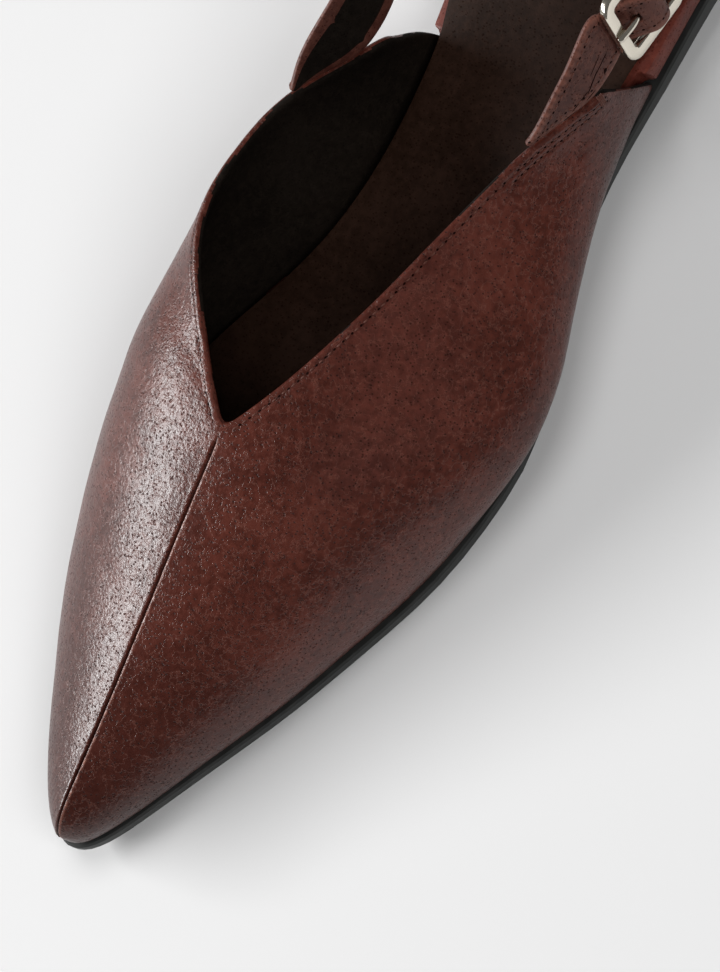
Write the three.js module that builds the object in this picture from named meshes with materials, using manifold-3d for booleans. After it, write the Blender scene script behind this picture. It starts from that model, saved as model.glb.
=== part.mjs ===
// A women's flat slingback shoe for the left foot, one shoe, in millimetres.
// +X runs to the toe, +Y to the outer side of the foot, +Z up; the floor is z = 0 and
// the origin is on the floor under the middle of the heel.
import * as THREE from "three";
import Module from "manifold-3d";
import { mergeVertices } from "three/addons/utils/BufferGeometryUtils.js";

const wasm = await Module();
wasm.setup();

// Driving sizes.
const LENGTH = 268; // sole, back of the heel to the point of the toe
const BALL = 76; // sole width across the ball of the foot
const THROAT = 0.306; // the point of the V lies this share of the length behind the toe
const INSTEP = 41; // height of the point of the V over the floor
const SPRING = 4; // lift of the toe off the floor
const HEEL = 6.5; // lift of the heel seat: the height of the heel block with its joint
const HEEL_MIDDLE = 27; // middle of the heel, measured from its back
const OUTSOLE = 3.4; // outsole thickness under the forefoot
const OUTSOLE_REAR = 4.6; // outsole thickness under the heel
const RIM = 0.8; // how far the outsole stands out past the upper
const WALL = 2; // leather and lining together
const BED_FRONT = 3; // wrapped footbed under the toes
const BED = 6.2; // wrapped footbed at the waist and heel, where its side shows
const SOCK = 1.2; // insole leather
const GAP = 0.3; // room between pieces that are glued or sewn together
const STRAP = 1.4; // strap leather
const LOOP = 1.1; // the sling's end where it is folded round the bar
const STRAP_WIDTH = 10; // strap width at the buckle
const PIN = 0.75; // half thickness of the buckle's prong
const HALF = BALL / 2;
const TOE_X = LENGTH - HEEL_MIDDLE;

// Sole outline, toe to heel: at is a share of the length behind the toe, outer and inner
// are shares of half the ball width.
const OUTLINE = [
  { at: 0, outer: 0, inner: 0 },
  { at: 0.014, outer: 0.14, inner: 0.15 },
  { at: 0.045, outer: 0.25, inner: 0.315 },
  { at: 0.1, outer: 0.415, inner: 0.545 },
  { at: 0.165, outer: 0.61, inner: 0.77 },
  { at: 0.23, outer: 0.775, inner: 0.905 },
  { at: 0.3, outer: 0.925, inner: 0.955 },
  { at: 0.35, outer: 0.975, inner: 0.91 },
  { at: 0.4, outer: 0.98, inner: 0.8 },
  { at: 0.45, outer: 0.9, inner: 0.665 },
  { at: 0.5, outer: 0.765, inner: 0.575 },
  { at: 0.56, outer: 0.66, inner: 0.54 },
  { at: 0.62, outer: 0.625, inner: 0.57 },
  { at: 0.68, outer: 0.63, inner: 0.63 },
  { at: 0.76, outer: 0.625, inner: 0.67 },
  { at: 0.84, outer: 0.665, inner: 0.695 },
  { at: 0.9, outer: 0.69, inner: 0.69 },
  { at: 0.95, outer: 0.6, inner: 0.6 },
  { at: 1, outer: 0, inner: 0 },
];
// The ridge that carries the centre seam, toe to the V: out is a share of half the ball
// width, up a share of the instep height.
const RIDGE = [
  { at: 0, out: 0, up: 0.3 },
  { at: 0.004, out: 0, up: 0.36 },
  { at: 0.015, out: 0, up: 0.425 },
  { at: 0.045, out: -0.003, up: 0.49 },
  { at: 0.093, out: -0.014, up: 0.572 },
  { at: 0.157, out: -0.026, up: 0.7 },
  { at: 0.239, out: -0.042, up: 0.87 },
  { at: THROAT, out: -0.058, up: 1 },
];
// Toplines from the V to the rear corner of each wing.
const TOP_OUTER = [
  { at: THROAT, out: -0.058, up: 1 },
  { at: 0.353, out: 0.086, up: 0.98 },
  { at: 0.39, out: 0.168, up: 0.958 },
  { at: 0.434, out: 0.253, up: 0.927 },
  { at: 0.477, out: 0.318, up: 0.895 },
  { at: 0.516, out: 0.374, up: 0.861 },
  { at: 0.552, out: 0.429, up: 0.829 },
  { at: 0.58, out: 0.484, up: 0.805 },
  { at: 0.606, out: 0.555, up: 0.78 },
  { at: 0.641, out: 0.626, up: 0.735 },
];
const TOP_INNER = [
  { at: THROAT, out: -0.058, up: 1 },
  { at: 0.34, out: -0.305, up: 1 },
  { at: 0.364, out: -0.463, up: 0.993 },
  { at: 0.385, out: -0.6, up: 0.985 },
  { at: 0.41, out: -0.735, up: 0.97 },
  { at: 0.44, out: -0.83, up: 0.945 },
  { at: 0.477, out: -0.853, up: 0.915 },
  { at: 0.518, out: -0.825, up: 0.88 },
  { at: 0.545, out: -0.765, up: 0.85 },
  { at: 0.57, out: -0.68, up: 0.815 },
  { at: 0.59, out: -0.615, up: 0.775 },
  { at: 0.608, out: -0.565, up: 0.73 },
];
// Fullness of each side's sections: swell is how far the foot of the wall leans out (a
// share of half the ball width), level how high that is, turn the fall of the surface at the top edge in degrees
// and reach how far that fall carries on (a share of the section's chord).
const FORM_OUTER = [
  { at: 0, swell: 0.03, level: 0.5, turn: 45, reach: 0.08 },
  { at: 0.015, swell: 0.065, level: 0.5, turn: 22, reach: 0.16 },
  { at: 0.093, swell: 0.078, level: 0.5, turn: 10, reach: 0.3 },
  { at: 0.2, swell: 0.085, level: 0.5, turn: 8, reach: 0.38 },
  { at: THROAT, swell: 0.13, level: 0.47, turn: 8, reach: 0.4 },
  { at: 0.42, swell: 0.45, level: 0.4, turn: 30, reach: 0.34 },
  { at: 0.48, swell: 0.56, level: 0.38, turn: 43, reach: 0.33 },
  { at: 0.55, swell: 0.45, level: 0.38, turn: 56, reach: 0.32 },
  { at: 0.62, swell: 0.24, level: 0.42, turn: 70, reach: 0.3 },
  { at: 0.68, swell: 0.05, level: 0.5, turn: 86, reach: 0.3 },
];
const FORM_INNER = [
  { at: 0, swell: 0.03, level: 0.5, turn: 45, reach: 0.08 },
  { at: 0.015, swell: 0.06, level: 0.5, turn: 22, reach: 0.16 },
  { at: 0.093, swell: 0.092, level: 0.5, turn: 10, reach: 0.3 },
  { at: 0.2, swell: 0.1, level: 0.5, turn: 7, reach: 0.44 },
  { at: THROAT, swell: 0.16, level: 0.5, turn: 7, reach: 0.6 },
  { at: 0.35, swell: 0.22, level: 0.5, turn: 15, reach: 0.6 },
  { at: 0.4, swell: 0.28, level: 0.5, turn: 34, reach: 0.5 },
  { at: 0.45, swell: 0.28, level: 0.5, turn: 61, reach: 0.4 },
  { at: 0.5, swell: 0.23, level: 0.5, turn: 81, reach: 0.34 },
  { at: 0.56, swell: 0.16, level: 0.5, turn: 91, reach: 0.31 },
  { at: 0.64, swell: 0.06, level: 0.5, turn: 92, reach: 0.3 },
];
const WING_OUTER = { foot: 0.678, top: 0.641 }; // rear edge of the outer wing
const WING_INNER = { foot: 0.64, top: 0.608 }; // rear edge of the inner wing

// A share of the length as an even parameter that is fine at both rounded ends.
const even = (at) => Math.acos(1 - 2 * at) / Math.PI;
const share = (p) => (1 - Math.cos(Math.PI * p)) / 2;

// A smooth curve (natural spline) through one column of a table.
function smooth(rows, column, key = "at", spread = even) {
  const n = rows.length;
  const x = rows.map((r) => spread(r[key]));
  const y = rows.map((r) => r[column]);
  const bend = new Array(n).fill(0);
  const c = new Array(n).fill(0);
  const d = new Array(n).fill(0);
  for (let i = 1; i < n - 1; i++) {
    const a = x[i] - x[i - 1];
    const b = x[i + 1] - x[i];
    const m = 2 * (a + b) - a * c[i - 1];
    c[i] = b / m;
    d[i] = (6 * ((y[i + 1] - y[i]) / b - (y[i] - y[i - 1]) / a) - a * d[i - 1]) / m;
  }
  for (let i = n - 2; i > 0; i--) bend[i] = d[i] - c[i] * bend[i + 1];
  return (at) => {
    const v = Math.min(Math.max(spread(at), x[0]), x[n - 1]);
    let i = 0;
    while (i < n - 2 && v > x[i + 1]) i++;
    const h = x[i + 1] - x[i];
    const q = (v - x[i]) / h;
    const p = 1 - q;
    const pull = ((p ** 3 - p) * bend[i] + (q ** 3 - q) * bend[i + 1]) * (h * h) / 6;
    return p * y[i] + q * y[i + 1] + pull;
  };
}
const step = (v, from, to) => THREE.MathUtils.smoothstep(v, from, to);

// Heights over the floor along the sole.
const soleUnder = (at) => SPRING * Math.max(0, 1 - at / 0.28) ** 2 + HEEL * step(at, 0.4, 0.76);
const soleOver = (at) => soleUnder(at) + OUTSOLE + (OUTSOLE_REAR - OUTSOLE) * step(at, 0.6, 0.78);
const bedUnder = (at) => soleOver(at) + GAP;
const bedOver = (at) => bedUnder(at) + BED_FRONT + (BED - BED_FRONT) * step(at, 0.4, 0.6);

// A point of the sole outline moved in by inset at a right angle to the outline.
const halfWidth = { 1: smooth(OUTLINE, "outer"), [-1]: smooth(OUTLINE, "inner") };
function edge(at, side, inset) {
  const e = 1e-4;
  const p = even(at);
  const p0 = Math.max(p - e, 0);
  const p1 = Math.min(p + e, 1);
  const du = (share(p1) - share(p0)) * LENGTH;
  const dy = (halfWidth[side](share(p1)) - halfWidth[side](share(p0))) * HALF;
  const l = Math.hypot(du, dy);
  const y = halfWidth[side](at) * HALF - (du / l) * inset;
  return { u: at * LENGTH + (dy / l) * inset, y: side * Math.max(y, 0) };
}
const vec = (u, y, z) => new THREE.Vector3(TOE_X - u, y, z);
// The same from shares of the length, of half the ball width and of the instep height.
const spot = (at, out, up) => vec(at * LENGTH, out * HALF, up * INSTEP);

// Geometry from a list of triangles, and booleans on it.
function solid(triangles) {
  const g = new THREE.BufferGeometry();
  const flat = triangles.flat().flatMap((v) => [v.x, v.y, v.z]);
  g.setAttribute("position", new THREE.Float32BufferAttribute(flat, 3));
  return g;
}
const quad = (out, a, b, c, d) => out.push([a, b, c], [a, c, d]);
function body(geometry) {
  const g = geometry.clone();
  g.deleteAttribute("normal");
  g.deleteAttribute("uv");
  const m = mergeVertices(g, 1e-4);
  const triVerts = new Uint32Array(m.index.array);
  const vertProperties = new Float32Array(m.attributes.position.array);
  const made = new wasm.Manifold(new wasm.Mesh({ numProp: 3, vertProperties, triVerts }));
  return made;
}
function shape(made) {
  const m = made.getMesh();
  const g = new THREE.BufferGeometry();
  g.setAttribute("position", new THREE.Float32BufferAttribute(m.vertProperties, 3));
  g.setIndex(Array.from(m.triVerts));
  return g.toNonIndexed();
}

// The upper: one hollow shell. Each station has a section on either side, a cubic curve
// from the foot of the wall to the ridge or, behind the V, to the topline.
const FRONT = 20; // stations from the toe to the V
const REAR = 18; // stations from the V to the rear edge of a wing
const ROUND = 11; // steps up a section
const ridge = { out: smooth(RIDGE, "out"), up: smooth(RIDGE, "up") };
function side(sign, top, form, wing) {
  const topline = { out: smooth(top, "out"), up: smooth(top, "up") };
  const swell = smooth(form, "swell");
  const level = smooth(form, "level");
  const turn = smooth(form, "turn");
  const reach = smooth(form, "reach");
  return (i) => {
    const front = i <= FRONT;
    const r = front ? (i / FRONT) ** 2 : (i - FRONT) / REAR;
    const foot = front ? THROAT * r : THROAT + (wing.foot - THROAT) * r;
    const head = front ? THROAT * r : THROAT + (wing.top - THROAT) * r;
    const f = edge(foot, sign, RIM);
    const line = front ? ridge : topline;
    const low = vec(f.u, f.y, bedUnder(foot));
    const nose = RIM * Math.max(0, 1 - r / 0.3) * (front ? 1 : 0);
    const high = vec(head * LENGTH + nose, line.out(head) * HALF, line.up(head) * INSTEP);
    const chord = low.distanceTo(high);
    const a = THREE.MathUtils.degToRad(turn(foot));
    const k = reach(foot) * chord;
    const rise = high.z - low.z;
    const tail = (high.x - low.x) / 3;
    const p1 = low.clone()
      .add(new THREE.Vector3(tail, sign * swell(foot) * HALF, level(foot) * rise));
    const p2 = high.clone().add(new THREE.Vector3(-tail, sign * k * Math.cos(a), -k * Math.sin(a)));
    return new THREE.CubicBezierCurve3(low, p1, p2, high).getPoints(ROUND);
  };
}
const outerSide = side(1, TOP_OUTER, FORM_OUTER, WING_OUTER);
const innerSide = side(-1, TOP_INNER, FORM_INNER, WING_INNER);

// The inner sheet: every point moved in by the wall along the surface's own normal.
function inward(grids) {
  const normals = new Map();
  const face = (a, b, c) => {
    const n = new THREE.Vector3().crossVectors(b.clone().sub(a), c.clone().sub(a));
    for (const v of [a, b, c]) {
      if (!normals.has(v)) normals.set(v, new THREE.Vector3());
      normals.get(v).add(n);
    }
  };
  for (const [sign, grid] of grids)
    for (let i = 0; i < grid.length - 1; i++)
      for (let j = 0; j < ROUND; j++) {
        const [a, b, c, d] = [grid[i][j], grid[i + 1][j], grid[i + 1][j + 1], grid[i][j + 1]];
        if (sign > 0) face(a, b, c), face(a, c, d);
        else face(a, c, b), face(a, d, c);
      }
  return (p, foot) => {
    const n = normals.get(p).clone();
    if (foot) n.setZ(0);
    return p.clone().addScaledVector(n.normalize(), -WALL);
  };
}

function upper() {
  const last = FRONT + REAR;
  const grids = [
    [1, Array.from({ length: last + 1 }, (_, i) => outerSide(i))],
    [-1, Array.from({ length: last + 1 }, (_, i) => innerSide(i))],
  ];
  for (let i = 0; i <= FRONT; i++) grids[1][1][i][ROUND] = grids[0][1][i][ROUND];
  for (let j = 0; j <= ROUND; j++) {
    for (const [, grid] of grids) grid[0][j].y = 0;
    grids[1][1][0][j] = grids[0][1][0][j];
  }
  const moved = inward(grids);
  const tris = [];
  for (const [sign, grid] of grids) {
    const inside = grid.map((row) => row.map((p, j) => moved(p, j === 0)));
    const face = (a, b, c, d) => (sign > 0 ? quad(tris, a, b, c, d) : quad(tris, d, c, b, a));
    for (let i = 0; i < last; i++) {
      for (let j = 0; j < ROUND; j++) {
        face(grid[i][j], grid[i + 1][j], grid[i + 1][j + 1], grid[i][j + 1]);
        face(inside[i][j + 1], inside[i + 1][j + 1], inside[i + 1][j], inside[i][j]);
      }
      face(inside[i][0], inside[i + 1][0], grid[i + 1][0], grid[i][0]);
      const [p, q] = [grid[i][ROUND], grid[i + 1][ROUND]];
      if (i >= FRONT) face(p, q, inside[i + 1][ROUND], inside[i][ROUND]);
    }
    for (let j = 0; j < ROUND; j++)
      face(grid[last][j], inside[last][j], inside[last][j + 1], grid[last][j + 1]);
  }
  return shape(body(solid(tris)));
}

// A flat or curved layer of the sole. levels are functions of (at, side) that give the
// point of the layer's edge, from its underside up; places are shares of the length.
function layer(levels, places) {
  const tris = [];
  const rows = levels.map((level) =>
    [1, -1].map((s) => places.map((at, i) => level(at, s, i))));
  const last = places.length - 1;
  for (const rs of rows)
    for (const end of [0, last])
      if (Math.abs(rs[0][end].y) < 0.02) rs[1][end] = rs[0][end];
  for (let k = 0; k + 1 < rows.length; k++) {
    const [lo, hi] = [rows[k], rows[k + 1]];
    for (let i = 0; i < last; i++) {
      quad(tris, lo[0][i], lo[0][i + 1], hi[0][i + 1], hi[0][i]);
      quad(tris, hi[1][i], hi[1][i + 1], lo[1][i + 1], lo[1][i]);
    }
    if (lo[0][0] !== lo[1][0]) quad(tris, lo[1][0], lo[0][0], hi[0][0], hi[1][0]);
    if (lo[0][last] !== lo[1][last])
      quad(tris, lo[0][last], lo[1][last], hi[1][last], hi[0][last]);
  }
  const [under, over] = [rows[0], rows[rows.length - 1]];
  for (let i = 0; i < last; i++) {
    quad(tris, under[0][i], under[1][i], under[1][i + 1], under[0][i + 1]);
    quad(tris, over[0][i], over[0][i + 1], over[1][i + 1], over[1][i]);
  }
  const real = tris.filter(([a, b, c]) => a !== b && b !== c && a !== c);
  return shape(body(solid(real)));
}
const along = (from, to, count) =>
  Array.from({ length: count + 1 }, (_, i) => share(even(from) + (even(to) - even(from)) * i / count));
const ring = (inset, height) => (at, s) => {
  const p = edge(at, s, inset);
  return vec(p.u, p.y, height(at));
};

const outsole = () =>
  layer([
    ring(0.7, soleUnder),
    ring(0, (at) => soleUnder(at) + 0.6),
    ring(0, (at) => soleOver(at) - 0.5),
    ring(0.4, soleOver),
  ], along(0, 1, 60));

const HEEL_FRONT = 0.77; // breast of the heel
const heel = () =>
  layer([
    ring(2, () => 0),
    ring(1.4, () => 0.7),
    ring(0.9, () => HEEL - GAP),
  ], along(HEEL_FRONT, 1, 22));

// The footbed is as wide as the outside of the wings behind them and fits inside them in
// front. Its shoulder follows the slanted rear edge of each wing.
function bedPlaces() {
  const { foot: a } = WING_INNER;
  const { foot: b } = WING_OUTER;
  const w = 0.002;
  return [...along(0.018, a - w, 36), a, ...along(a + w, b - w, 3), b, ...along(b + w, 1, 24)];
}
function bedLevel(inset, height, up) {
  const places = bedPlaces();
  const narrow = RIM + WALL + GAP + inset;
  return (at, s, i) => {
    const wing = s > 0 ? WING_OUTER : WING_INNER;
    const shoulder = places.indexOf(wing.foot);
    const slant = (wing.foot - wing.top) * (up / (INSTEP * 0.8));
    const near = Math.max(0, 1 - Math.abs(i - shoulder) / 2);
    const moved = at - slant * near + 3 * GAP / LENGTH * near;
    const p = edge(moved, s, i < shoulder ? narrow : RIM + inset);
    return vec(p.u, p.y, height(at));
  };
}
const footbed = () =>
  layer([
    bedLevel(0.5, bedUnder, 0),
    bedLevel(0, (at) => bedUnder(at) + 0.6, 0.6),
    bedLevel(0, (at) => bedOver(at) - 1.3, 3),
    bedLevel(0.4, (at) => bedOver(at) - 0.4, 4),
    bedLevel(1.3, bedOver, 4),
  ], bedPlaces());

const sockUnder = (at) => bedOver(at) + GAP;
function sock(inset, height) {
  // It lies inside the wings and widens over the roll of the footbed behind them.
  return (at, s) => {
    const wing = s > 0 ? WING_OUTER : WING_INNER;
    const inside = RIM + WALL + GAP + 0.7;
    const open = RIM + 1.5;
    const p = edge(at, s, inset + inside + (open - inside) * step(at, wing.foot, wing.foot + 0.025));
    return vec(p.u, p.y, height(at));
  };
}
const insole = () =>
  layer([
    sock(0, sockUnder),
    sock(0, (at) => sockUnder(at) + SOCK - 0.4),
    sock(0.4, (at) => sockUnder(at) + SOCK),
  ], along(0.03, 0.992, 54));

// The buckle's own frame: along runs to the heel, up across the strap and out away from
// the foot. Its middle is the middle of the centre bar.
const BUCKLE = { at: 0.7045, out: 0.603, up: 0.866, length: 18, height: 16, arm: 2.6, thick: 1.8, bar: 0.8 };
const slope = THREE.MathUtils.degToRad(-12); // the strap falls a little to the heel here
const lean = THREE.MathUtils.degToRad(19); // its upper edge leans in over the foot
const alongAxis = new THREE.Vector3(-Math.cos(slope), 0, Math.sin(slope));
const outAxis = new THREE.Vector3(0, Math.cos(lean), Math.sin(lean));
const upAxis = new THREE.Vector3().crossVectors(outAxis, alongAxis).normalize();
outAxis.crossVectors(alongAxis, upAxis).normalize();
const centre = spot(BUCKLE.at, BUCKLE.out, BUCKLE.up);
const local = (a, w, n) =>
  centre.clone().addScaledVector(alongAxis, a).addScaledVector(upAxis, w).addScaledVector(outAxis, n);
const buckleMatrix = new THREE.Matrix4().makeBasis(alongAxis, upAxis, outAxis).setPosition(centre);

// A strap through rows of {low, high} edge points, with its edges eased.
function ribbon(rows, thick, count) {
  const keyed = rows.map((r, i) => ({ at: i, lx: r.low.x, ly: r.low.y, lz: r.low.z,
    hx: r.high.x, hy: r.high.y, hz: r.high.z }));
  const f = ["lx", "ly", "lz", "hx", "hy", "hz"].map((c) => smooth(keyed, c, "at", (v) => v));
  const end = rows.length - 1;
  const low = (t) => new THREE.Vector3(f[0](t), f[1](t), f[2](t));
  const high = (t) => new THREE.Vector3(f[3](t), f[4](t), f[5](t));
  const mid = (t) => low(t).add(high(t)).multiplyScalar(0.5);
  const rings = [];
  for (let i = 0; i <= count; i++) {
    const t = end * i / count;
    const across = high(t).sub(low(t));
    const w = across.length() / 2;
    across.normalize();
    const way = mid(Math.min(t + 0.02, end)).sub(mid(Math.max(t - 0.02, 0)));
    const n = new THREE.Vector3().crossVectors(way, across).normalize();
    const h = thick / 2;
    const e = Math.min(0.35, w / 2, h / 2);
    const at = (a, b) => mid(t).addScaledVector(across, a).addScaledVector(n, b);
    rings.push([at(-w, -h + e), at(-w + e, -h), at(w - e, -h), at(w, -h + e),
      at(w, h - e), at(w - e, h), at(-w + e, h), at(-w, h - e)]);
  }
  const tris = [];
  for (let i = 0; i < count; i++)
    for (let k = 0; k < 8; k++) {
      const m = (k + 1) % 8;
      quad(tris, rings[i][k], rings[i + 1][k], rings[i + 1][m], rings[i][m]);
    }
  for (let k = 1; k < 7; k++) {
    tris.push([rings[0][0], rings[0][k], rings[0][k + 1]]);
    tris.push([rings[count][0], rings[count][k + 1], rings[count][k]]);
  }
  let made = body(solid(tris));
  if (made.volume() < 0) made = body(solid(tris.map(([a, b, c]) => [a, c, b])));
  return made;
}

// Points just over the rim of a wing, in the middle of its wall, at a share of the length.
function overRim(sign, at, lift) {
  const section = sign > 0 ? outerSide : innerSide;
  const wing = sign > 0 ? WING_OUTER : WING_INNER;
  const i = FRONT + REAR * (at - THROAT) / (wing.top - THROAT);
  const row = section(i);
  const up = row[ROUND].clone().sub(row[ROUND - 1]).normalize();
  const way = section(i + 0.1)[ROUND].sub(section(i - 0.1)[ROUND]).normalize();
  const out = new THREE.Vector3().crossVectors(up, way).multiplyScalar(-sign).normalize();
  if (out.y * sign < 0) out.negate();
  return row[ROUND].clone().addScaledVector(up, lift).addScaledVector(out, -WALL / 2);
}
const armAt = (BUCKLE.length - BUCKLE.arm) / 2; // centre of the buckle's end arms
const under = -(BUCKLE.thick / 2 + 1.5 * GAP + STRAP / 2); // a strap passing behind an arm
const over = BUCKLE.bar + GAP + LOOP + GAP + STRAP / 2; // the holed strap over the bar
const acrossBuckle = (a, n, width) => ({ low: local(a, -width / 2, n), high: local(a, width / 2, n) });
const rimLift = GAP + 0.4;

const prongPath = new THREE.CatmullRomCurve3([
  local(1.4, 0, -1.5), local(-0.6, 0, -2.1), local(-2.1, 0, -0.6), local(-2.6, 0, 0.9),
  local(-4.6, 0, 1.5), local(-armAt, 0, 1.42), local(-armAt - 1.1, 0, 1.2),
], false, "centripetal");
function prong(extra) {
  const g = new THREE.TubeGeometry(prongPath, 16, PIN + extra, 10, false);
  const caps = [prongPath.getPoint(0), prongPath.getPoint(1)].map((p) =>
    body(new THREE.SphereGeometry((PIN + extra) * 0.999, 10, 8).translate(p.x, p.y, p.z)));
  const tube = closedTube(g, 16, 10);
  return tube.add(caps[0]).add(caps[1]);
}
function closedTube(g, steps, round) {
  const p = g.attributes.position;
  const at = (i, k) => new THREE.Vector3().fromBufferAttribute(p, i * (round + 1) + (k % round));
  const tris = [];
  for (let i = 0; i < steps; i++)
    for (let k = 0; k < round; k++) quad(tris, at(i, k), at(i, k + 1), at(i + 1, k + 1), at(i + 1, k));
  for (let k = 1; k < round - 1; k++) {
    tris.push([at(0, 0), at(0, k + 1), at(0, k)]);
    tris.push([at(steps, 0), at(steps, k), at(steps, k + 1)]);
  }
  let made = body(solid(tris));
  if (made.volume() < 0) made = body(solid(tris.map(([a, b, c]) => [a, c, b])));
  return made;
}

function tab() {
  // The holed strap: from the outer wing's topline, behind the front arm, over the bar
  // and behind the rear arm, lying on the sling.
  const rows = [
    { low: overRim(1, 0.583, rimLift), high: overRim(1, 0.582, rimLift + 0.9) },
    { low: overRim(1, 0.597, rimLift), high: spot(0.591, 0.479, 0.878) },
    { low: overRim(1, 0.617, rimLift), high: spot(0.6142, 0.489, 0.932) },
    { low: overRim(1, 0.636, rimLift), high: spot(0.6418, 0.497, 0.99) },
    acrossBuckle(-10.8, under - 0.2, STRAP_WIDTH + 2.4),
    acrossBuckle(-armAt, under - 0.1, STRAP_WIDTH),
    acrossBuckle(-armAt + 1.6, under, STRAP_WIDTH - 0.4),
    acrossBuckle(-3.4, 0.7, STRAP_WIDTH - 0.4),
    acrossBuckle(-1.9, over - 0.6, STRAP_WIDTH - 0.4),
    acrossBuckle(0, over, STRAP_WIDTH - 0.4),
    acrossBuckle(1.9, over - 0.6, STRAP_WIDTH - 0.4),
    acrossBuckle(3.4, 0.7, STRAP_WIDTH - 0.4),
    acrossBuckle(armAt - 1.6, under, STRAP_WIDTH - 0.4),
    acrossBuckle(armAt, under - 0.1, STRAP_WIDTH - 0.4),
    acrossBuckle(13, under, STRAP_WIDTH - 1),
    acrossBuckle(16.4, under + 1, STRAP_WIDTH - 6),
  ];
  return shape(ribbon(rows, STRAP, 66).subtract(prong(GAP)));
}

// The sling, from the inner wing's topline round the heel to the loop on the centre bar. low
// and high are its lower and upper edges.
const SLING = [
  { at: 0.6082, low: { out: -0.595, up: 0.761 }, high: { out: -0.7, up: 1.122 } },
  { at: 0.6381, low: { out: -0.584, up: 0.829 }, high: { out: -0.711, up: 1.161 } },
  { at: 0.709, low: { out: -0.647, up: 0.927 }, high: { out: -0.747, up: 1.215 } },
  { at: 0.791, low: { out: -0.711, up: 0.966 }, high: { out: -0.763, up: 1.234 } },
  { at: 0.8731, low: { out: -0.684, up: 0.985 }, high: { out: -0.684, up: 1.239 } },
  { at: 0.9366, low: { out: -0.489, up: 0.995 }, high: { out: -0.468, up: 1.244 } },
  { at: 0.972, low: { out: -0.184, up: 1.0 }, high: { out: -0.174, up: 1.249 } },
  { at: 0.972, low: { out: 0.184, up: 0.99 }, high: { out: 0.174, up: 1.239 } },
  { at: 0.9366, low: { out: 0.489, up: 0.935 }, high: { out: 0.458, up: 1.178 } },
  { at: 0.8881, low: { out: 0.658, up: 0.825 }, high: { out: 0.6, up: 1.064 } },
  { at: 0.84, low: { out: 0.69, up: 0.72 }, high: { out: 0.612, up: 0.956 } },
  { at: 0.797, low: { out: 0.665, up: 0.668 }, high: { out: 0.572, up: 0.904 } },
];
function sling() {
  const slip = under - STRAP - 1.5 * GAP; // the sling lies behind the holed strap
  const rows = [
    { low: overRim(-1, 0.54, rimLift), high: overRim(-1, 0.539, rimLift + 0.9) },
    { low: overRim(-1, 0.565, rimLift), high: spot(0.5582, -0.763, 0.985) },
    { low: overRim(-1, 0.587, rimLift), high: spot(0.5821, -0.726, 1.073) },
    ...SLING.map(({ at, low, high }) => ({
      low: spot(at, low.out, low.up),
      high: spot(at - 0.004, high.out, high.up),
    })),
    acrossBuckle(15, slip, STRAP_WIDTH),
    acrossBuckle(armAt + 2, slip, STRAP_WIDTH),
    acrossBuckle(armAt - 2, slip, STRAP_WIDTH),
    acrossBuckle(3.4, slip + 0.3, STRAP_WIDTH),
  ];
  const strap = ribbon(rows, STRAP, 78);
  const r = BUCKLE.bar + GAP + LOOP;
  const drop = new THREE.Shape();
  drop.absarc(0, 0, r, 0.05 * Math.PI, 1.55 * Math.PI, false);
  drop.lineTo(5, slip - STRAP / 2 + 0.2);
  drop.lineTo(5, slip + STRAP / 2);
  const hole = new THREE.Path();
  hole.absarc(0, 0, BUCKLE.bar + GAP, 0, 2 * Math.PI, true);
  drop.holes.push(hole);
  const flat = new THREE.ExtrudeGeometry(drop, { depth: STRAP_WIDTH - 0.6, bevelEnabled: false, curveSegments: 10 });
  // The shape is drawn in (along, out); turn it so that its depth runs across the strap.
  flat.translate(0, 0, -(STRAP_WIDTH - 0.6) / 2).rotateX(-Math.PI / 2).scale(1, 1, -1);
  let loop = body(flat.applyMatrix4(buckleMatrix));
  if (loop.volume() < 0) loop = body(flip(flat));
  const slot = new THREE.BoxGeometry(7.8, 2 * (PIN + GAP) + 0.2, 6.8).translate(-1.3, 0, 0).applyMatrix4(buckleMatrix);
  return shape(strap.add(loop).subtract(body(slot)));
}
function flip(g) {
  const p = g.attributes.position;
  const at = (i) => new THREE.Vector3().fromBufferAttribute(p, i);
  const tris = [];
  for (let i = 0; i < p.count; i += 3) tris.push([at(i), at(i + 2), at(i + 1)]);
  return solid(tris);
}

// The buckle: a cast frame of rounded section with a centre bar, and a prong hung on it.
function frame() {
  const { length, height, arm, thick, bar } = BUCKLE;
  const r = 2;
  const [a, b] = [(length - arm) / 2, (height - arm) / 2];
  const path = new THREE.Path();
  path.absarc(a - r, b - r, r, 0, Math.PI / 2, false);
  path.absarc(-a + r, b - r, r, Math.PI / 2, Math.PI, false);
  path.absarc(-a + r, -b + r, r, Math.PI, 1.5 * Math.PI, false);
  path.absarc(a - r, -b + r, r, 1.5 * Math.PI, 2 * Math.PI, false);
  const count = 44;
  const round = 10;
  const rings = path.getSpacedPoints(count).slice(0, count).map((p, i, all) => {
    const next = all[(i + 1) % count].clone().sub(all[(i + count - 1) % count]).normalize();
    return Array.from({ length: round }, (_, k) => {
      const q = 2 * Math.PI * k / round;
      const [c, s] = [Math.cos(q), Math.sin(q)];
      const x = Math.sign(c) * Math.abs(c) ** 0.75 * arm / 2;
      const n = Math.sign(s) * Math.abs(s) ** 0.75 * thick / 2;
      return local(p.x + next.y * x, p.y - next.x * x, n);
    });
  });
  const tris = [];
  for (let i = 0; i < count; i++)
    for (let k = 0; k < round; k++) {
      const [m, j] = [(k + 1) % round, (i + 1) % count];
      quad(tris, rings[i][k], rings[j][k], rings[j][m], rings[i][m]);
    }
  let made = body(solid(tris));
  if (made.volume() < 0) made = body(solid(tris.map(([x, y, z]) => [x, z, y])));
  const rod = new THREE.CylinderGeometry(bar, bar, height - arm, 16).applyMatrix4(buckleMatrix);
  return shape(made.add(body(rod)).subtract(prong(GAP)));
}

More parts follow.
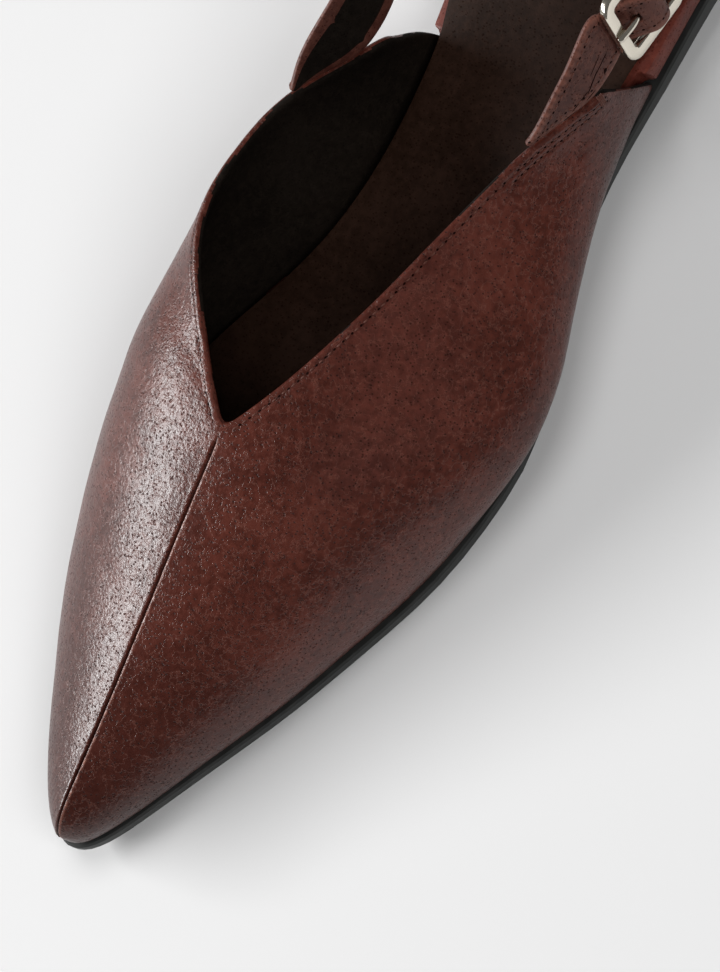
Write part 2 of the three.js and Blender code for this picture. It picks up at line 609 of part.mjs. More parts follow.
const leather = new THREE.MeshStandardMaterial({ color: 0x4a2620, roughness: 0.5 });
const lining = new THREE.MeshStandardMaterial({ color: 0x3a261d, roughness: 0.7 });
const rubber = new THREE.MeshStandardMaterial({ color: 0x2a2b2a, roughness: 0.75 });
const metal = new THREE.MeshStandardMaterial({ color: 0xd9d2c0, metalness: 1, roughness: 0.2 });

const group = new THREE.Group();
function add(name, geometry, material) {
  const mesh = new THREE.Mesh(geometry, material);
  mesh.name = name;
  group.add(mesh);
}
add("outsole", outsole(), rubber);
add("heel", heel(), rubber);
add("footbed", footbed(), leather);
add("insole", insole(), lining);
add("upper", upper(), leather);
add("tab_strap", tab(), leather);
add("sling", sling(), leather);
add("buckle_frame", frame(), metal);
add("buckle_prong", shape(prong(0)), metal);

export default group;
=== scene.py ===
# %% [markdown]
# A left shoe for a woman: a flat slingback with a pointed toe, in polished brown leather.
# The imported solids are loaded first. They fix every place and size, and each dressed piece
# is made from the solid that it stands for, so that nothing moves away from the part.

import math
import random

import bmesh
import bpy
from mathutils import Matrix, Vector, noise
from mathutils.bvhtree import BVHTree
from mathutils.kdtree import KDTree


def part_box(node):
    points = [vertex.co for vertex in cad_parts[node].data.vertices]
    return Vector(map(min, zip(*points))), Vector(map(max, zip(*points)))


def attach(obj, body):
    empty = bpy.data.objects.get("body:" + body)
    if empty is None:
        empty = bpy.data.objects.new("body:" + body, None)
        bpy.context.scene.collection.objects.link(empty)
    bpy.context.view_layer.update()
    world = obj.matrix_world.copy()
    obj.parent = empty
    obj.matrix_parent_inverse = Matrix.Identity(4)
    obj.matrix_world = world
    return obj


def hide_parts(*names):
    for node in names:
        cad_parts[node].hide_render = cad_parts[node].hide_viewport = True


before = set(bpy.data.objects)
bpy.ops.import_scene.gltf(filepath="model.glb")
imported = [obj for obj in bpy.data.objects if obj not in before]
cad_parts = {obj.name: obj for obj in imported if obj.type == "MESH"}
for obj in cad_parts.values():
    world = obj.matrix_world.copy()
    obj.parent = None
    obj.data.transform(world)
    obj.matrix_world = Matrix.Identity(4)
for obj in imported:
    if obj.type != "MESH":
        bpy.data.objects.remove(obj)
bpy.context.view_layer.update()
scene = bpy.context.scene
MM = 0.001
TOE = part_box("outsole")[1].x  # the point of the sole, on the middle line
print("loaded", len(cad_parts), "solids; toe at", round(TOE, 4))

# %% [markdown]
# The photograph looks steeply down at the front of the shoe from its outer side, with the
# camera rolled so that the toe points down and left. A view is settled by the direction from
# the target back to the camera, a distance, a roll and a lens. A long lens keeps the toe and
# the strap nearly the same size, as in the photograph.

# %% Camera
TARGET = Vector((154.16, 18.53, 20.0)) * MM
DISTANCE = 617.47 * MM
AZIMUTH, ELEVATION, ROLL = map(math.radians, (83.21, 66.52, -52.34))
back = Vector((math.cos(AZIMUTH) * math.cos(ELEVATION), math.sin(AZIMUTH) * math.cos(ELEVATION), math.sin(ELEVATION)))
level = (-back).cross(Vector((0, 0, 1))).normalized()
upright = level.cross(-back)
right = level * math.cos(ROLL) + upright * math.sin(ROLL)
up = upright * math.cos(ROLL) - level * math.sin(ROLL)
camera = bpy.data.objects.new("camera", bpy.data.cameras.new("camera"))
scene.collection.objects.link(camera)
camera.data.lens = 122.6
camera.data.clip_start = 0.01
camera.matrix_world = Matrix.Translation(TARGET + back * DISTANCE) @ Matrix((right, up, back)).transposed().to_4x4()
scene.camera = camera
print("camera at", [round(v, 3) for v in camera.location])

# %% [markdown]
# Shader maths reads best as ordinary sums. A small class holds a socket and adds a Math node
# for each sum, and one method makes every other node from its type, settings and sockets.

# %% Material helpers
class Value:
    def __init__(self, finish, socket):
        self.finish, self.socket = finish, socket

    def math(self, operation, *others, clamp=False):
        settings = {"operation": operation, "use_clamp": clamp}
        return self.finish.node("ShaderNodeMath", settings, dict(enumerate((self, *others))))

    def __add__(self, other):
        return self.math("ADD", other)

    def __sub__(self, other):
        return self.math("SUBTRACT", other)

    def __rsub__(self, other):
        return self.math("MULTIPLY_ADD", -1.0, other)

    def __mul__(self, other):
        return self.math("MULTIPLY", other)

    __radd__, __rmul__ = __add__, __mul__

    def between(self, low, high):
        """0 below low, 1 above high and a soft step between them."""
        settings = {"interpolation_type": "SMOOTHSTEP"}
        sockets = {"Value": self, "From Min": low, "From Max": high}
        return self.finish.node("ShaderNodeMapRange", settings, sockets, "Result")


class Finish:
    def __init__(self, name):
        self.material = bpy.data.materials.new(name)
        self.material.use_nodes = True
        self.tree = self.material.node_tree
        self.shader = self.tree.nodes["Principled BSDF"]
        self.place = self.node("ShaderNodeTexCoord", {}, {}, "Object")

    def feed(self, socket, value):
        if isinstance(value, Value):
            self.tree.links.new(value.socket, socket)
        else:
            socket.default_value = (*value, 1.0) if isinstance(value, tuple) and socket.type == "RGBA" else value

    def node(self, kind, settings, sockets, output=0):
        made = self.tree.nodes.new(kind)
        for name, value in settings.items():
            setattr(made, name, value)
        for name, value in sockets.items():
            self.feed(made.inputs[name], value)
        return Value(self, made.outputs[output])

    def shade(self, **sockets):
        for name, value in sockets.items():
            self.feed(self.shader.inputs[name.replace("_", " ")], value)

    def noise(self, size, detail=3.0, roughness=0.55, stretch=None):
        sockets = {"Vector": self.stretched(stretch), "Scale": 1 / size, "Detail": detail, "Roughness": roughness}
        return self.node("ShaderNodeTexNoise", {}, sockets, "Fac")

    def cells(self, size, feature="F1", randomness=1.0, stretch=None):
        sockets = {"Vector": self.stretched(stretch), "Scale": 1 / size, "Randomness": randomness}
        return self.node("ShaderNodeTexVoronoi", {"feature": feature}, sockets, "Distance")

    def stretched(self, stretch):
        if stretch is None:
            return self.place
        return self.node("ShaderNodeMapping", {}, {"Vector": self.place, "Scale": Vector(stretch)})

    def mix(self, factor, a, b):
        sockets = {0: factor, 6: a, 7: b}
        return self.node("ShaderNodeMix", {"data_type": "RGBA", "clamp_factor": True}, sockets, 2)

    def attribute(self, name):
        return self.node("ShaderNodeAttribute", {"attribute_name": name}, {}, "Fac")

    def bump(self, height, depth, strength=1.0):
        return self.node("ShaderNodeBump", {}, {"Height": height, "Distance": depth, "Strength": strength})


# %% [markdown]
# Polished calf: a deep red-brown skin with fine dark pores, a soft mottle of lighter and
# darker dye and faint pale fibres. Its gloss is soft and its pebble very low, so light lies on
# it in a broad milky band that the pores break up. Near a seam or an edge two attributes of the
# mesh, filled in by the modelling below, paint light into the colour: one darkens troughs, the
# seam groove and gaps with painted shade, the other lightens edges and seam lips, partly as pale
# wear and partly as a painted highlight.

# %% Leathers
BURNISHED = (TOE - 75 * MM, TOE + 5 * MM)  # the dye is darker towards the toe


def leather(name, dark, mid, pale, gloss=0.25, pebble=1.0, shine=0.42):
    f = Finish(name)
    mottle = f.noise(16 * MM, 4.0, 0.6)
    spots = f.noise(1.5 * MM, 3.0, 0.62)
    fine = f.noise(0.7 * MM, 2.0, 0.6)
    pores = f.cells(0.72 * MM, stretch=(1.0, 0.75, 1.0))
    pore = 1 - pores.between(0.1, 0.32)
    vein = f.noise(2.6 * MM, 3.0, 0.62)
    vein = 1 - (vein - 0.5).math("ABSOLUTE").between(0.0, 0.022)
    painted_shade = f.attribute("painted_shade")
    wear_and_highlight = f.attribute("wear_and_highlight")
    toeward = f.node("ShaderNodeSeparateXYZ", {}, {"Vector": f.place}, "X").between(*BURNISHED)
    skin = f.mix((mottle * 0.5 + spots * 0.5).between(0.36, 0.64), dark, mid)
    skin = f.mix(toeward * 0.8, skin, tuple(v * 0.75 for v in dark))
    skin = f.mix(vein * 0.16 * pebble, skin, pale)
    # pale wear on edges and seam lips, with a painted highlight of the rolled edges in the same colour
    skin = f.mix(wear_and_highlight * (0.2 + fine * 0.8), skin, pale)
    skin = f.mix(pore * 0.75 * pebble, skin, tuple(v * 0.2 for v in dark))
    # painted shade: the skin goes nearly black where the mesh marks troughs, grooves and gaps
    skin = f.mix(painted_shade, skin, tuple(v * 0.12 for v in dark))
    height = fine * 0.45 + spots * 0.6 + vein * 0.12 - pore * 0.3
    f.shade(
        Base_Color=skin,
        Roughness=gloss + spots * 0.12 + pore * 0.5 + painted_shade * 0.3,
        Specular_IOR_Level=shine,
        Normal=f.bump(height, 0.25 * MM * pebble, 0.85),
    )
    return f.material


CALF = leather("calf", (0.038, 0.0072, 0.004), (0.08, 0.0185, 0.0115), (0.26, 0.115, 0.085))
STRAP = leather("strap_calf", (0.04, 0.0115, 0.008), (0.088, 0.03, 0.021), (0.3, 0.12, 0.085), 0.45, 0.7, 0.35)
WRAP = leather("wrap_calf", (0.075, 0.014, 0.009), (0.13, 0.03, 0.02), (0.3, 0.12, 0.085), 0.45, 0.6, 0.35)
# The sock is dark brown leather, with painted shade for the inside of the shoe put into its colour as well.
SHADED_SOCK = leather("shaded_sock_leather", (0.0095, 0.0042, 0.0024), (0.019, 0.009, 0.0058), (0.06, 0.03, 0.02), 0.6, 0.4, 0.15)
LINING = leather("lining_leather", (0.005, 0.0036, 0.0028), (0.009, 0.0065, 0.005), (0.06, 0.045, 0.035), 0.75, 0.4, 0.15)

# %% [markdown]
# The sole is one thin sheet of hard black rubber with a buffed edge. The buckle is a small
# casting in a pale warm metal, polished, so it mostly shows the light around it.

# %% Rubber, thread and metal
def rubber():
    f = Finish("black_rubber")
    scuff = f.noise(2.5 * MM, 4.0, 0.7, stretch=(0.25, 1.0, 1.0))
    colour = f.mix(scuff.between(0.35, 0.75), (0.014, 0.015, 0.0145), (0.03, 0.031, 0.03))
    f.shade(Base_Color=colour, Roughness=0.5 + scuff * 0.25, Normal=f.bump(scuff, 0.08 * MM, 0.6))
    return f.material


def thread():
    f = Finish("thread")
    lay = f.noise(0.4 * MM, 2.0)
    f.shade(Base_Color=f.mix(lay, (0.05, 0.016, 0.011), (0.12, 0.045, 0.032)), Roughness=0.6)
    return f.material


def polished_metal():
    f = Finish("pale_metal")
    handling = f.noise(3 * MM, 4.0, 0.7)
    f.shade(Base_Color=(0.86, 0.8, 0.69), Metallic=1.0, Roughness=0.1 + handling * 0.12)
    return f.material


def needle_hole_shade():
    f = Finish("needle_hole_shade")
    # the dark colour is painted shade: the inside of a needle hole
    f.shade(Base_Color=(0.006, 0.002, 0.0015), Roughness=0.9, Specular_IOR_Level=0.1)
    return f.material


RUBBER, THREAD, METAL, HOLE_SHADE = rubber(), thread(), polished_metal(), needle_hole_shade()
print("finishes made:", len(bpy.data.materials))

# %% [markdown]
# Every dressed leather piece starts as a copy of its solid. The solid is loose triangles, so
# the copy is merged and its triangles are joined into quads, which a subdivision then rounds.

# %% Copies of the solids
def merged(node):
    bm = bmesh.new()
    bm.from_mesh(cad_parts[node].data)
    bmesh.ops.remove_doubles(bm, verts=bm.verts, dist=0.002 * MM)
    bmesh.ops.join_triangles(
        bm,
        faces=bm.faces,
        angle_face_threshold=math.radians(30),
        angle_shape_threshold=math.radians(50),
    )
    return bm


def piece_from(bm, name, materials, node=None):
    mesh = bpy.data.meshes.new(name)
    bm.to_mesh(mesh)
    bm.free()
    for kept in ("custom_normal", "sharp_face", "sharp_edge"):
        if kept in mesh.attributes:
            mesh.attributes.remove(mesh.attributes[kept])
    for material in materials:
        mesh.materials.append(material)
    mesh.shade_smooth()
    piece = bpy.data.objects.new(name, mesh)
    scene.collection.objects.link(piece)
    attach(piece, "root")
    if node:
        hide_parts(node)
    return piece


def rounded(bm, levels):
    """The same mesh after Catmull-Clark subdivision, as a new bmesh."""
    mesh = bpy.data.meshes.new("cage")
    bm.to_mesh(mesh)
    bm.free()
    cage = bpy.data.objects.new("cage", mesh)
    scene.collection.objects.link(cage)
    smooth = cage.modifiers.new("smooth", "SUBSURF")
    smooth.levels = smooth.render_levels = levels
    made = bmesh.new()
    made.from_mesh(cage.evaluated_get(bpy.context.evaluated_depsgraph_get()).to_mesh())
    bpy.data.objects.remove(cage)
    return made


# %% [markdown]
# Stitches, folds and seams follow the edges of a leather sheet, so those edges are read from
# the solid itself. Faces are sorted into sheets by walking over edges that are nearly flat,
# and an edge path is the row of edges where one sheet ends.

# %% Sheets and their edges
def sheets(bm, bend=50):
    """Faces in groups that no edge sharper than bend divides, largest first."""
    left, found = set(bm.faces), []
    while left:
        group, front = set(), [left.pop()]
        while front:
            face = front.pop()
            group.add(face)
            for edge in face.edges:
                if len(edge.link_faces) == 2 and edge.calc_face_angle() < math.radians(bend):
                    for other in edge.link_faces:
                        if other in left:
                            left.discard(other)
                            front.append(other)
        found.append(group)
    return sorted(found, key=lambda g: -sum(f.calc_area() for f in g))


def walk(edges, sheet, start):
    """Steps (from, to, inward) along joined edges, inward pointing over the sheet."""
    here, left, steps = start, set(edges), []
    while True:
        edge = next((e for e in here.link_edges if e in left), None)
        if edge is None:
            return steps
        left.discard(edge)
        there = edge.other_vert(here)
        face = next(f for f in edge.link_faces if f in sheet)
        way = (there.co - here.co).normalized()
        over = face.calc_center_median() - here.co
        steps.append((here.co.copy(), there.co.copy(), (over - way * over.dot(way)).normalized()))
        here = there


def even_places(steps, pitch, start=0.0, stop=None):
    """(distance along, place, way, inward) at an even pitch on walked steps."""
    found, run, due = [], 0.0, start
    for a, b, inward in steps:
        length = (b - a).length
        while due <= run + length and (stop is None or due <= stop):
            found.append((due, a.lerp(b, (due - run) / length), (b - a).normalized(), inward))
            due += pitch
        run += length
    return found


def length_of(steps):
    return sum((b - a).length for a, b, _ in steps)


# %% [markdown]
# The upper is two halves of leather that meet in a seam from the toe to the throat. Its solid
# has an outside, an inside and narrow rims. The edges of the rims are eased before the cage
# is rounded, so that the folded topline keeps its place.

# %% Upper: cage and toplines
OUTSIDE, INSIDE, RIM = range(3)
cage = merged("upper")
outside, inside, *_ = sheets(cage)
for face in cage.faces:
    face.material_index = OUTSIDE if face in outside else INSIDE if face in inside else RIM
rim_edges = [e for e in cage.edges if len({f.material_index for f in e.link_faces}) == 2]


def under_rim(edge):
    faces = {f.material_index: f for f in edge.link_faces}
    if OUTSIDE not in faces or RIM not in faces:
        return False
    return faces[RIM].normal.z > 0.1 and faces[RIM].normal.x > -0.85


top_edges = [e for e in rim_edges if under_rim(e)]
throat = max((v for e in top_edges for v in e.verts), key=lambda v: v.co.x)
THROAT = throat.co.copy()
toplines = {}
for first in [e for e in top_edges if throat in e.verts]:
    side = 1 if first.other_vert(throat).co.y > throat.co.y else -1
    toplines[side] = walk([e for e in top_edges if e is first or throat not in e.verts], outside, throat)
    print("topline on side", side, round(length_of(toplines[side]) / MM, 1), "mm")
TIP_ROOM = 6 * MM  # the cage is already fine at the point of the toe
eased = [e for e in rim_edges if max(v.co.x for v in e.verts) < TOE - TIP_ROOM]
bmesh.ops.bevel(cage, geom=eased, offset=0.55 * MM, segments=1, affect="EDGES", profile=0.5, material=-1)
corner = cage.verts.layers.float.new("crease_vert")
for v in cage.verts:
    at_rim = any(f.material_index == RIM for f in v.link_faces)
    if at_rim and (v.co - THROAT).length < 5 * MM and abs(v.co.y - THROAT.y) < 0.9 * MM:
        v[corner] = 1.0
print("corner points kept sharp:", sum(v[corner] > 0 for v in cage.verts))
body = rounded(cage, 2)
print("upper rounded to", len(body.faces), "faces")

# %% [markdown]
# Three measures steer the fine work on the leather: how far a point is from the topline, how
# far along it, and how far from the centre seam. The mesh is cut finer only where the first or
# the last is small.

# %% Upper: measures and finer mesh
TOP_STEP = 0.2 * MM
near_top = [(run, side) for side in toplines for run, *_ in even_places(toplines[side], TOP_STEP)]
tree = KDTree(len(near_top))
for i, place in enumerate(p for side in toplines for _, p, *_ in even_places(toplines[side], TOP_STEP)):
    tree.insert(place, i)
tree.balance()
STRAIGHT = 6.5 * MM  # the seam starts straight, then drifts to the inner side
DRIFT = THROAT.y / (TOE - THROAT.x - STRAIGHT)


def from_seam(p):
    return p.y - DRIFT * max(TOE - p.x - STRAIGHT, 0)


def from_top(p):
    _, i, distance = tree.find(p)
    return distance, *near_top[i]


def refine(bm, wanted):
    """Cuts each edge of the outside in half whose two ends are wanted."""
    keep = {v for v in bm.verts if wanted(v.co) and all(f.material_index == OUTSIDE for f in v.link_faces)}
    edges = [e for e in bm.edges if e.verts[0] in keep and e.verts[1] in keep]
    bmesh.ops.subdivide_edges(bm, edges=edges, cuts=1, use_grid_fill=True)


ROW = 1.5 * MM  # stitch row under the folded edge
SECOND_ROW = 2.75 * MM  # second row, where the holed strap is sewn in
for top_reach, seam_reach in ((4.4, 3.4), (3.8, 1.9), (0, 0.75)):
    refine(
        body,
        lambda p: 0.7 * MM < from_top(p)[0] < top_reach * MM
        or (p.x > THROAT.x and abs(from_seam(p)) < seam_reach * MM),
    )
print("refined to", len(body.faces), "faces")

# %% [markdown]
# Leather that was pulled over a last isn't perfectly even. A few soft creases are placed where
# the photograph shows them, each from one point to another, in millimetres behind the toe and
# out from the middle line. Then come the rolled edge, lightened by pale wear and a painted
# highlight, the trough that each stitch row pulls in and the closed seam with its two lips,
# with painted shade in the troughs and the seam groove.

# %% Upper: creases, folds and seam
CREASES = [
    {"start": (158, 25.5), "end": (173, 22.5), "width": 1.3, "rise": 0.4},
    {"start": (157, 29), "end": (174, 24.8), "width": 1.5, "rise": -0.35},
    {"start": (152, 33.5), "end": (170, 28), "width": 1.8, "rise": 0.3},
    {"start": (128, 9), "end": (138, 27), "width": 1.5, "rise": -0.12},
    {"start": (141, 19), "end": (150, 27), "width": 1.2, "rise": -0.14},
    {"start": (86, -6), "end": (97, -27), "width": 2.0, "rise": -0.25},
    {"start": (92, -12), "end": (104, -32), "width": 1.8, "rise": -0.2},
    {"start": (66, -7), "end": (72, -26), "width": 2.6, "rise": -0.22},
    {"start": (46, -5), "end": (50, -19), "width": 2.4, "rise": -0.16},
]
outer_length = length_of(toplines[1])
SECOND_START = outer_length - 24 * MM


def bell(value, width):
    return math.exp(-((value / width) ** 2))


def crease(p):
    rise = 0.0
    for c in CREASES:
        a = Vector((TOE - c["start"][0] * MM, c["start"][1] * MM))
        b = Vector((TOE - c["end"][0] * MM, c["end"][1] * MM))
        t = min(max((p.xy - a).dot(b - a) / (b - a).length_squared, 0), 1)
        away = (p.xy - a.lerp(b, t)).length
        if away < 3 * c["width"] * MM:
            rise += c["rise"] * bell(away, c["width"] * MM) * math.sin(math.pi * (0.1 + 0.8 * t))
    return rise


def finish_leather(bm):
    # painted shade in the stitch troughs and the seam groove is stored on the points
    painted_shade = bm.verts.layers.float.new("painted_shade")
    # edges and seam lips lightened: partly pale wear, partly a painted highlight
    wear_and_highlight = bm.verts.layers.float.new("wear_and_highlight")
    bm.normal_update()
    moves = []
    for v in bm.verts:
        kinds = {f.material_index for f in v.link_faces}
        away, run, side = from_top(v.co)
        if kinds != {OUTSIDE}:
            # a pale rolled rim: partly wear, partly a painted highlight
            v[wear_and_highlight] = 0.4 * bell(away, 0.3 * MM) if INSIDE not in kinds else 0.0
            continue
        wobble = noise.noise(v.co / (11 * MM)) * 0.1 + noise.noise(v.co / (4.5 * MM)) * 0.035
        # dark gathers the painted shade of this point
        rise, dark = crease(v.co) + wobble, 0.0
        if away < 6 * MM:
            rows = [ROW] + ([SECOND_ROW] if side > 0 and run > SECOND_START else [])
            for row in rows:
                rise -= 0.13 * bell(away - row, 0.4 * MM)
                # painted shade along the bottom of each stitch trough
                dark = max(dark, 0.35 * bell(away - row, 0.25 * MM))
            # the folded edge lightened the same way: partly wear, partly a painted highlight
            v[wear_and_highlight] = 0.4 * bell(away, 0.25 * MM)
        seam = from_seam(v.co)
        if v.co.x > THROAT.x - 0.5 * MM and abs(seam) < 4 * MM and away > 0.2 * MM:
            rise += 0.08 * bell(abs(seam) - 0.7 * MM, 0.45 * MM) - 0.5 * bell(seam, 0.2 * MM)
            # painted shade down the seam groove
            dark = max(dark, bell(seam, 0.17 * MM))
            # pale dashes on the seam's outer lip: partly wear, partly a painted highlight
            dash = noise.noise(Vector((v.co.x / (1.1 * MM), 0, 0)))
            v[wear_and_highlight] = max(v[wear_and_highlight], (0.55 + 1.2 * dash) * bell(seam - 0.5 * MM, 0.22 * MM))
        v[painted_shade] = dark
        ease = min(away / (0.6 * MM), 1)
        moves.append((v, v.normal * rise * ease * MM))
    for v, move in moves:
        v.co += move


finish_leather(body)


def places_of(kind):
    """A search tree of the points of one kind of face."""
    places = [v.co for v in body.verts if any(f.material_index == kind for f in v.link_faces)]
    found = KDTree(len(places))
    for i, place in enumerate(places):
        found.insert(place, i)
    found.balance()
    return found


to_outside, to_inside = places_of(OUTSIDE), places_of(INSIDE)
for face in [f for f in body.faces if f.material_index == RIM]:
    middle = face.calc_center_median()
    if to_inside.find(middle)[2] < to_outside.find(middle)[2]:
        face.material_index = INSIDE  # the lining reaches up to the middle of the edge
upper = piece_from(body, "upper_leather", [CALF, LINING, CALF], "upper")

# %% [markdown]
# A stitch is a short round thread that dips into a hole at each end. Only its back shows, so
# one stretched ball, sunk a little into the leather, stands for it, and a small dark ball of
# painted shade stands for the inside of each hole between two stitches.

# %% Stitches
THREAD_THICK, HOLE_LONG, HOLE_WIDE = 0.34 * MM, 0.62 * MM, 0.42 * MM
LONG_PITCH, PITCH = 2.2 * MM, 1.65 * MM


def balls(name, places, size, material, detail=2):
    bm = bmesh.new()
    for place, way, normal in places:
        turn = Matrix((way, normal.cross(way), normal)).transposed().to_4x4()
        at = Matrix.Translation(place) @ turn @ Matrix.Diagonal((*size, 1))
        bmesh.ops.create_icosphere(bm, subdivisions=detail, radius=0.5, matrix=at)
    print(name, len(places))
    return piece_from(bm, name, [material])


def on_skin(surface, steps, row, start, stop, pitch):
    """Places on a surface at a distance row in from walked steps."""
    found = []
    for _, edge, way, inward in even_places(steps, pitch, start, stop):
        place, normal, *_ = surface.find_nearest(edge + inward * row)
        way = (way - normal * way.dot(normal)).normalized()
        found.append((place, way, normal))
    return found


def sewn(name, surface, rows):
    """Thread, and painted shade for the holes, for rows of (steps, distance in, start, stop, pitch)."""
    threads, holes = [], []
    for steps, row, start, stop, pitch in rows:
        threads += on_skin(surface, steps, row, start, stop, pitch)
        holes += on_skin(surface, steps, row, start + pitch / 2, stop, pitch)
    size = (0.6 * PITCH, THREAD_THICK, THREAD_THICK)
    balls(name + "_thread", threads, size, THREAD)
    # the hole marks are dark balls of painted shade
    balls(name + "_hole_shades", holes, (HOLE_LONG, HOLE_WIDE, 0.16 * MM), HOLE_SHADE)


skin = BVHTree.FromObject(upper, bpy.context.evaluated_depsgraph_get())
sewn("topline", skin, [
    (toplines[1], ROW, LONG_PITCH, SECOND_START, LONG_PITCH),
    (toplines[1], ROW, SECOND_START + PITCH, None, PITCH),
    (toplines[1], SECOND_ROW, SECOND_START, None, PITCH),
    (toplines[-1], ROW, LONG_PITCH, None, LONG_PITCH),
])

# %% [markdown]
# At the outer wing's rear corner a bar tack locks both rows: thread wound a few times over
# the edge. Each turn is one more stretched ball, set side by side.

# %% Bar tack
TURNS = 4
corner_run = outer_length - 0.6 * MM
tack = []
for turn in range(TURNS):
    for row in (0.5 * MM, 1.7 * MM):
        run = corner_run - turn * 0.36 * MM
        place, way, normal = on_skin(skin, toplines[1], row, run, None, 1)[0]
        tack.append((place + normal * 0.05 * MM, normal.cross(way), normal))
balls("bar_tack", tack, (1.7 * MM, 0.36 * MM, 0.42 * MM), THREAD)

# %% [markdown]
# A strap is two layers sewn all round: polished leather outside and dark lining against the
# foot. Its solid is a ribbon with eased edges. The two broad sheets are found again, the one
# that faces the foot takes the lining, and a row of stitches runs round the other.

# %% Straps
STRAP_ROW = 1.3 * MM
FOOT_MIDDLE = Vector((100, 0, 0)) * MM


def border_loops(sheet):
    """Walked borders of a sheet, longest first."""
    left = {e for f in sheet for e in f.edges if sum(g in sheet for g in e.link_faces) == 1}
    loops = []
    while left:
        start = next(iter(sorted(left, key=lambda e: e.index))).verts[0]
        loops.append(walk(left, sheet, start))
        done = {(a.freeze(), b.freeze()) for a, b, _ in loops[-1]}
        left = {e for e in left if not {(e.verts[0].co.copy().freeze(), e.verts[1].co.copy().freeze()),
                                        (e.verts[1].co.copy().freeze(), e.verts[0].co.copy().freeze())} & done}
    return sorted(loops, key=length_of, reverse=True)


def away_from_foot(sheet):
    return sum(f.normal.dot(f.calc_center_median() - FOOT_MIDDLE) * f.calc_area() for f in sheet)


def strap(node, name):
    bm = merged(node)
    bm.edges.index_update()
    broad = sheets(bm, 38)[:2]
    outer = max(broad, key=away_from_foot)
    for sheet in broad:
        for face in sheet:
            face.material_index = 0 if sheet is outer else 1
    loop = border_loops(outer)[0]
    bm = rounded(bm, 2)
    painted_shade = bm.verts.layers.float.new("painted_shade")
    wear_and_highlight = bm.verts.layers.float.new("wear_and_highlight")
    border = KDTree(len(loop))
    for i, (a, _, _) in enumerate(loop):
        border.insert(a, i)
    border.balance()
    for v in bm.verts:
        # painted shade where the strap runs in under the topline of the upper
        v[painted_shade] = bell(from_top(v.co)[0], 1.0 * MM)
        # a pale border round the strap: partly wear, partly a painted highlight on its eased edge
        v[wear_and_highlight] = 0.6 * bell(border.find(v.co)[2], 0.7 * MM)
    made = piece_from(bm, name, [STRAP, LINING], node)
    surface = BVHTree.FromObject(made, bpy.context.evaluated_depsgraph_get())
    sewn(name, surface, [(loop, STRAP_ROW, PITCH, None, LONG_PITCH)])
    print(name, "stitched round", round(length_of(loop) / MM), "mm")
    return surface


tab_skin = strap("tab_strap", "holed_strap")
strap("sling", "sling_strap")

# %% [markdown]
# The holed strap has been bent and fastened many times, so short creases run slantwise down it
# and one spare hole is left in it. The shade in them is painted: each is a flat dark ball pressed
# into the leather, from one point to another in millimetres.

# %% Marks on the holed strap
CREASE_AND_HOLE_SHADES = [
    {"start": (63.8, 38.2), "end": (68.8, 37.2), "width": 0.24},
    {"start": (67.8, 37.7), "end": (73.0, 35.6), "width": 0.28},
    {"start": (72.0, 36.4), "end": (78.5, 35.0), "width": 0.2},
    {"start": (65.0, 39.6), "end": (69.6, 38.4), "width": 0.16},
    {"start": (70.6, 34.6), "end": (74.2, 33.9), "width": 0.18},
    {"start": (66.0, 35.5), "end": (66.9, 35.2), "width": 0.8},
]
pressed = bmesh.new()
# each ball is painted shade in a crease or in the spare hole
for mark in CREASE_AND_HOLE_SHADES:
    a, b = (tab_skin.find_nearest(Vector((x, 30, z)) * MM)[0] for x, z in (mark["start"], mark["end"]))
    place, normal, *_ = tab_skin.find_nearest(a.lerp(b, 0.5))
    way = (b - a).normalized()
    way = (way - normal * way.dot(normal)).normalized()
    turn = Matrix((way, normal.cross(way), normal)).transposed().to_4x4()
    size = Matrix.Diagonal(((b - a).length, mark["width"] * MM, 0.14 * MM, 1))
    bmesh.ops.create_icosphere(pressed, subdivisions=3, radius=0.5, matrix=Matrix.Translation(place) @ turn @ size)
piece_from(pressed, "strap_crease_shades", [HOLE_SHADE])
print("marks on the holed strap:", len(CREASE_AND_HOLE_SHADES))

# %% [markdown]
# The buckle is cast flat and polished: a frame with rounded corners and soft edges, a bar
# across its middle and a prong hung on the bar. The frame is drawn flat, as one face with its
# corners rounded and its middle taken out, then made thick, eased and turned into its place.

# %% Buckle
SLOPE, LEAN = math.radians(-12), math.radians(19)
BAR_MIDDLE = Vector((52.2, 22.9, 35.5)) * MM
along = Vector((-math.cos(SLOPE), 0, math.sin(SLOPE)))
across = Vector((0, math.cos(LEAN), math.sin(LEAN))).cross(along).normalized()
turned = Matrix((along, across, along.cross(across))).transposed().to_4x4()
BUCKLE_PLACE = Matrix.Translation(BAR_MIDDLE) @ turned
FRAME_LENGTH, FRAME_HEIGHT, ARM, THICK, BAR = (v * MM for v in (18, 16, 2.6, 1.8, 0.8))

bm = bmesh.new()
bmesh.ops.create_grid(bm, x_segments=1, y_segments=1, size=0.5)
bmesh.ops.scale(bm, vec=(FRAME_LENGTH, FRAME_HEIGHT, 1), verts=bm.verts)
bmesh.ops.bevel(bm, geom=bm.verts[:], offset=3.2 * MM, segments=8, affect="VERTICES", profile=0.5, material=-1)
bmesh.ops.inset_region(bm, faces=bm.faces[:], thickness=ARM, use_boundary=True, use_even_offset=True)
middle = max(bm.faces, key=lambda f: len(f.verts))
bmesh.ops.delete(bm, geom=[middle], context="FACES_ONLY")
grown = bmesh.ops.extrude_face_region(bm, geom=bm.faces[:])
raised = [v for v in grown["geom"] if isinstance(v, bmesh.types.BMVert)]
bmesh.ops.translate(bm, vec=(0, 0, THICK), verts=raised)
bmesh.ops.translate(bm, vec=(0, 0, -THICK / 2), verts=bm.verts)
bmesh.ops.recalc_face_normals(bm, faces=bm.faces)
hard = [e for e in bm.edges if e.calc_face_angle(0) > math.radians(60)]
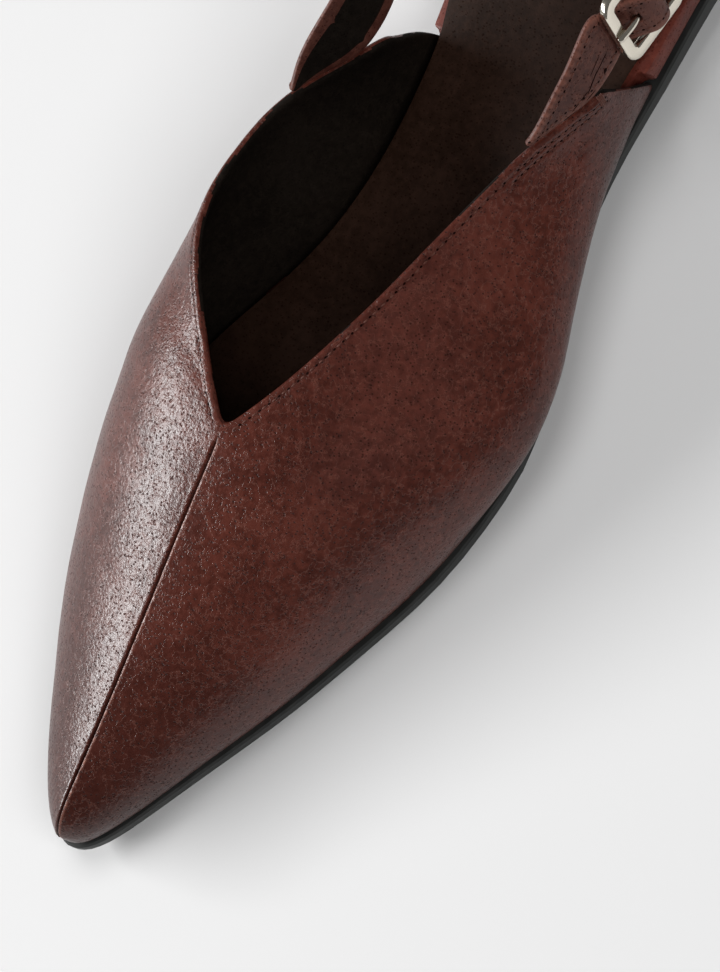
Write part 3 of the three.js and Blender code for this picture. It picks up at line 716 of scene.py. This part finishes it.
bmesh.ops.bevel(bm, geom=hard, offset=0.5 * MM, segments=4, affect="EDGES", profile=0.5, material=-1)
bmesh.ops.create_cone(
    bm, cap_ends=True, segments=24, radius1=BAR, radius2=BAR, depth=FRAME_HEIGHT - ARM,
    matrix=Matrix.Rotation(math.pi / 2, 4, "X"),
)
bmesh.ops.transform(bm, matrix=BUCKLE_PLACE, verts=bm.verts)
buckle = piece_from(bm, "buckle", [METAL], "buckle_frame")
buckle.data.set_sharp_from_angle(angle=math.radians(40))
print("buckle centre", [round(v / MM, 1) for v in BAR_MIDDLE])

# %% Other pieces
for node, name, material, slot, levels in (
    ("footbed", "wrapped_footbed", WRAP, "upper_leather", 1),
    ("insole", "sock", SHADED_SOCK, "insole_leather", 1),
    ("outsole", "sole", RUBBER, "sole_rubber", 0),
    ("heel", "heel_block", RUBBER, "sole_rubber", 0),
    ("buckle_prong", "prong", METAL, "buckle_metal", 1),
):
    made = piece_from(rounded(merged(node), levels), name, [material], node)
    made.data.set_sharp_from_angle(angle=math.radians(35))

# %% Floor and light
floor_mesh = bmesh.new()
bmesh.ops.create_grid(floor_mesh, x_segments=1, y_segments=1, size=3)
mesh = bpy.data.meshes.new("floor")
floor_mesh.to_mesh(mesh)
floor = bpy.data.objects.new("floor", mesh)
scene.collection.objects.link(floor)
paper = Finish("paper")
paper.shade(Base_Color=(0.58, 0.58, 0.582), Roughness=0.9, Specular_IOR_Level=0.2)
mesh.materials.append(paper.material)

scene.world = bpy.data.worlds.new("studio")
scene.world.use_nodes = True
scene.world.node_tree.nodes["Background"].inputs["Color"].default_value = (1, 0.985, 0.97, 1)
scene.world.node_tree.nodes["Background"].inputs["Strength"].default_value = 0.12
scene.view_settings.view_transform = "Standard"


def light(name, azimuth, elevation, away, size, power, seen=True):
    """An area lamp round the toe; one that isn't seen lights the scene but leaves no gloss."""
    lamp = bpy.data.lights.new(name, "AREA")
    lamp.shape = "RECTANGLE"
    lamp.size, lamp.size_y = size
    lamp.energy = power
    made = bpy.data.objects.new(name, lamp)
    scene.collection.objects.link(made)
    a, e = math.radians(azimuth), math.radians(elevation)
    way = Vector((math.cos(a) * math.cos(e), math.sin(a) * math.cos(e), math.sin(e)))
    made.location = Vector((0.18, 0, 0.02)) + way * away
    made.rotation_euler = way.to_track_quat("Z", "Y").to_euler()
    made.visible_glossy = seen


light("window", -59, 26, 1.5, (1.15, 0.16), 34)
light("ceiling", -150, 72, 1.7, (1.0, 0.8), 13, seen=False)
light("wall", 85, 48, 1.8, (1.2, 0.8), 18, seen=False)
